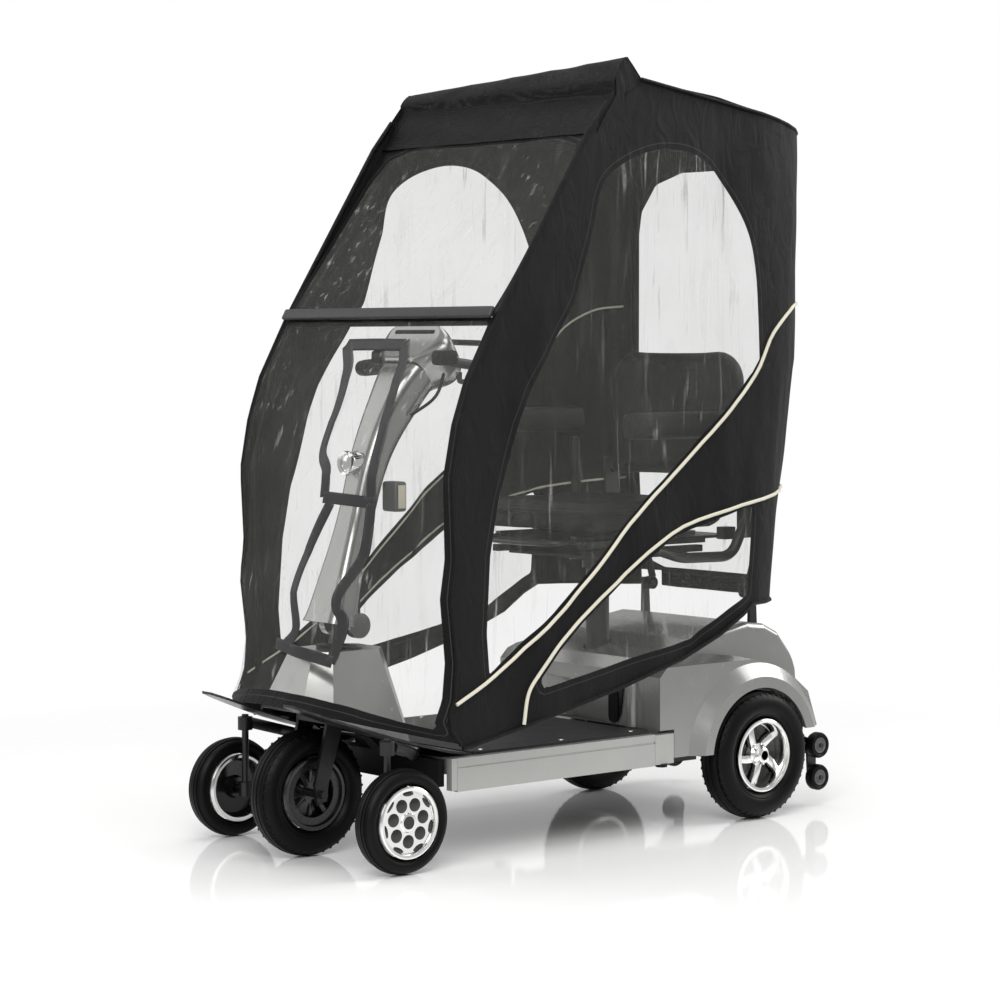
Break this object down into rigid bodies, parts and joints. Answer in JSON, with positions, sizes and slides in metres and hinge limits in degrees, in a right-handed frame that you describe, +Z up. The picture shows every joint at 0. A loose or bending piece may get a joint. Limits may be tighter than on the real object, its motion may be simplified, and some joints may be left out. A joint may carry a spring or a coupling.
{
  "type": "mobility scooter",
  "caption": "Electric mobility scooter with a tilting tiller, swivel seat, outrigger front wheels and a tilt-back weather canopy of dark fabric and clear sheet.",
  "frame": {"origin": "on the ground, on the centre plane, midway between the foremost and rearmost points", "axes": "+X to the rider's left, +Y to the rear, +Z up"},
  "size_m": [0.686, 1.376, 1.566],
  "materials": {
    "black_steel": "black powder coat",
    "silver_plastic": "silver metallic paint over moulded plastic",
    "silver_rail": "brushed anodised extrusion",
    "black_plastic": "textured black moulding",
    "tyre_black": "matt rubber",
    "rim_polish": "polished alloy",
    "rim_silver": "bright painted alloy",
    "mat_rubber": "ribbed rubber",
    "seat_vinyl": "soft black vinyl",
    "black_nylon": "coated nylon weave",
    "clear_vinyl": "flexible clear sheet with dark fabric border",
    "pole_steel": "bare tube",
    "grip_rubber": "soft grip",
    "lamp_chrome": "bright reflector",
    "red_lens": "moulded lens",
    "dial_plastic": "fine texture",
    "key_metal": "nickel plate",
    "battery_case": "moulded case",
    "grey_roller": "grey hub and black tread"
  },
  "bodies": {
    "chassis": {"main_frame": "black_steel", "deck_pan": "black_plastic", "deck_mat": "mat_rubber", "side_rails": "silver_rail", "rail_caps": "black_plastic", "foot_board_left": "black_plastic", "foot_board_right": "black_plastic", "nose_cowl": "silver_plastic", "front_undertray": "black_plastic", "rear_body": "silver_plastic", "rear_fender_left": "silver_plastic", "rear_fender_right": "silver_plastic", "battery_packs": "battery_case", "transaxle": "black_steel", "charge_socket": "black_plastic", "anti_tip_brackets": "black_steel", "tail_lights": "red_lens", "canopy_bracket": "black_steel"},
    "steering": {"steering_fork": "black_steel"},
    "knuckle_left": {"knuckle_left": "black_steel"},
    "knuckle_right": {"knuckle_right": "black_steel"},
    "front_wheel": {"front_tyre": "tyre_black", "front_rim": "rim_silver"},
    "side_wheel_left": {"side_tyre_left": "tyre_black", "side_rim_left": "rim_silver"},
    "side_wheel_right": {"side_tyre_right": "tyre_black", "side_rim_right": "rim_silver"},
    "rear_wheel_left": {"rear_tyre_left": "tyre_black", "rear_rim_left": "rim_polish"},
    "rear_wheel_right": {"rear_tyre_right": "tyre_black", "rear_rim_right": "rim_polish"},
    "tiller": {"tiller_frame": "black_steel", "tiller_cover": "silver_plastic", "tiller_head": "silver_plastic", "handlebar_grips": "grip_rubber", "headlight": "lamp_chrome"},
    "throttle": {"throttle_paddle": "black_plastic"},
    "brake": {"brake_lever": "black_steel"},
    "horn": {"horn_button": "black_plastic"},
    "dial": {"speed_dial": "dial_plastic"},
    "key": {"ignition_key": "key_metal"},
    "seat_swivel": {"seat_swivel": "black_steel"},
    "seat": {"seat_frame": "black_steel", "seat_cushion": "seat_vinyl"},
    "backrest": {"backrest": "seat_vinyl"},
    "armrest_left": {"armrest_left": "seat_vinyl"},
    "armrest_right": {"armrest_right": "seat_vinyl"},
    "swivel_lever": {"swivel_lever": "black_steel"},
    "canopy": {"canopy_frame": "pole_steel", "canopy_roof": "black_nylon", "canopy_brow": "black_nylon", "canopy_windscreen": "clear_vinyl", "canopy_front_flap": "clear_vinyl", "canopy_side_left": "clear_vinyl", "canopy_side_right": "clear_vinyl", "canopy_rear": "clear_vinyl"},
    "anti_tip_upper_left": {"anti_tip_wheel_upper_left": "grey_roller"},
    "anti_tip_upper_right": {"anti_tip_wheel_upper_right": "grey_roller"},
    "anti_tip_lower_left": {"anti_tip_wheel_lower_left": "grey_roller"},
    "anti_tip_lower_right": {"anti_tip_wheel_lower_right": "grey_roller"}
  },
  "joints": [
    {"name": "steer", "type": "hinge", "parent": "chassis", "child": "steering", "pos_m": [0, -0.546, 0.125], "axis": [0, 0.2419, 0.9703], "range_deg": [-30, 30]},
    {"name": "knuckle_left_turn", "type": "hinge", "parent": "chassis", "child": "knuckle_left", "pos_m": [0.235, -0.528, 0.101], "axis": [0, 0, 1], "range_deg": [-30, 30]},
    {"name": "knuckle_right_turn", "type": "hinge", "parent": "chassis", "child": "knuckle_right", "pos_m": [-0.235, -0.528, 0.101], "axis": [0, 0, 1], "range_deg": [-30, 30]},
    {"name": "front_wheel_spin", "type": "hinge", "parent": "steering", "child": "front_wheel", "pos_m": [0, -0.546, 0.125], "axis": [1, 0, 0], "continuous": true},
    {"name": "side_wheel_left_spin", "type": "hinge", "parent": "knuckle_left", "child": "side_wheel_left", "pos_m": [0.279, -0.528, 0.101], "axis": [1, 0, 0], "continuous": true},
    {"name": "side_wheel_right_spin", "type": "hinge", "parent": "knuckle_right", "child": "side_wheel_right", "pos_m": [-0.279, -0.528, 0.101], "axis": [1, 0, 0], "continuous": true},
    {"name": "rear_wheel_left_spin", "type": "hinge", "parent": "chassis", "child": "rear_wheel_left", "pos_m": [0.25, 0.44, 0.136], "axis": [1, 0, 0], "continuous": true},
    {"name": "rear_wheel_right_spin", "type": "hinge", "parent": "chassis", "child": "rear_wheel_right", "pos_m": [-0.25, 0.44, 0.136], "axis": [1, 0, 0], "continuous": true},
    {"name": "tiller_tilt", "type": "hinge", "parent": "steering", "child": "tiller", "pos_m": [0, -0.452, 0.45], "axis": [-1, 0, 0], "range_deg": [0, 10]},
    {"name": "throttle_turn", "type": "hinge", "parent": "tiller", "child": "throttle", "pos_m": [0, -0.213, 1.018], "axis": [0, 0.1701, 0.9854], "range_deg": [-14, 14], "stiffness_Nm_per_rad": 1},
    {"name": "brake_pull", "type": "hinge", "parent": "tiller", "child": "brake", "pos_m": [0.125, -0.262, 0.94], "axis": [0, 0, -1], "range_deg": [0, 12], "stiffness_Nm_per_rad": 1},
    {"name": "horn_press", "type": "slide", "parent": "tiller", "child": "horn", "axis": [0, -0.5145, -0.8575], "range_m": [0, 0.003], "stiffness_N_per_m": 400},
    {"name": "dial_turn", "type": "hinge", "parent": "tiller", "child": "dial", "pos_m": [0, -0.262, 1.013], "axis": [0, 0.53, 0.848], "range_deg": [-135, 135]},
    {"name": "key_turn", "type": "hinge", "parent": "tiller", "child": "key", "pos_m": [-0.0565, -0.261, 1.02], "axis": [0, 0, 1], "range_deg": [0, 70]},
    {"name": "seat_turn", "type": "hinge", "parent": "chassis", "child": "seat_swivel", "pos_m": [0, 0.22, 0.54], "axis": [0, 0, 1], "range_deg": [-90, 90]},
    {"name": "seat_slide", "type": "slide", "parent": "seat_swivel", "child": "seat", "axis": [0, -1, 0], "range_m": [0, 0.06]},
    {"name": "backrest_fold", "type": "hinge", "parent": "seat", "child": "backrest", "pos_m": [0, 0.45, 0.722], "axis": [1, 0, 0], "range_deg": [0, 78]},
    {"name": "armrest_left_lift", "type": "hinge", "parent": "seat", "child": "armrest_left", "pos_m": [0.268, 0.4, 0.82], "axis": [-1, 0, 0], "range_deg": [0, 95]},
    {"name": "armrest_right_lift", "type": "hinge", "parent": "seat", "child": "armrest_right", "pos_m": [-0.268, 0.4, 0.82], "axis": [-1, 0, 0], "range_deg": [0, 95]},
    {"name": "swivel_lever_lift", "type": "hinge", "parent": "seat_swivel", "child": "swivel_lever", "pos_m": [0.15, 0.11, 0.57], "axis": [-1, 0, 0], "range_deg": [0, 12], "stiffness_Nm_per_rad": 1},
    {"name": "canopy_tilt", "type": "hinge", "parent": "chassis", "child": "canopy", "pos_m": [0, 0.515, 0.47], "axis": [-1, 0, 0], "range_deg": [0, 50]},
    {"name": "anti_tip_upper_left_spin", "type": "hinge", "parent": "chassis", "child": "anti_tip_upper_left", "pos_m": [0.226, 0.66, 0.132], "axis": [1, 0, 0], "continuous": true},
    {"name": "anti_tip_lower_left_spin", "type": "hinge", "parent": "chassis", "child": "anti_tip_lower_left", "pos_m": [0.226, 0.66, 0.062], "axis": [1, 0, 0], "continuous": true},
    {"name": "anti_tip_upper_right_spin", "type": "hinge", "parent": "chassis", "child": "anti_tip_upper_right", "pos_m": [-0.226, 0.66, 0.132], "axis": [1, 0, 0], "continuous": true},
    {"name": "anti_tip_lower_right_spin", "type": "hinge", "parent": "chassis", "child": "anti_tip_lower_right", "pos_m": [-0.226, 0.66, 0.062], "axis": [1, 0, 0], "continuous": true}
  ],
  "couplings": [
    {"joint": "knuckle_left_turn", "follows": "steer", "ratio": 1},
    {"joint": "knuckle_right_turn", "follows": "steer", "ratio": 1}
  ]
}
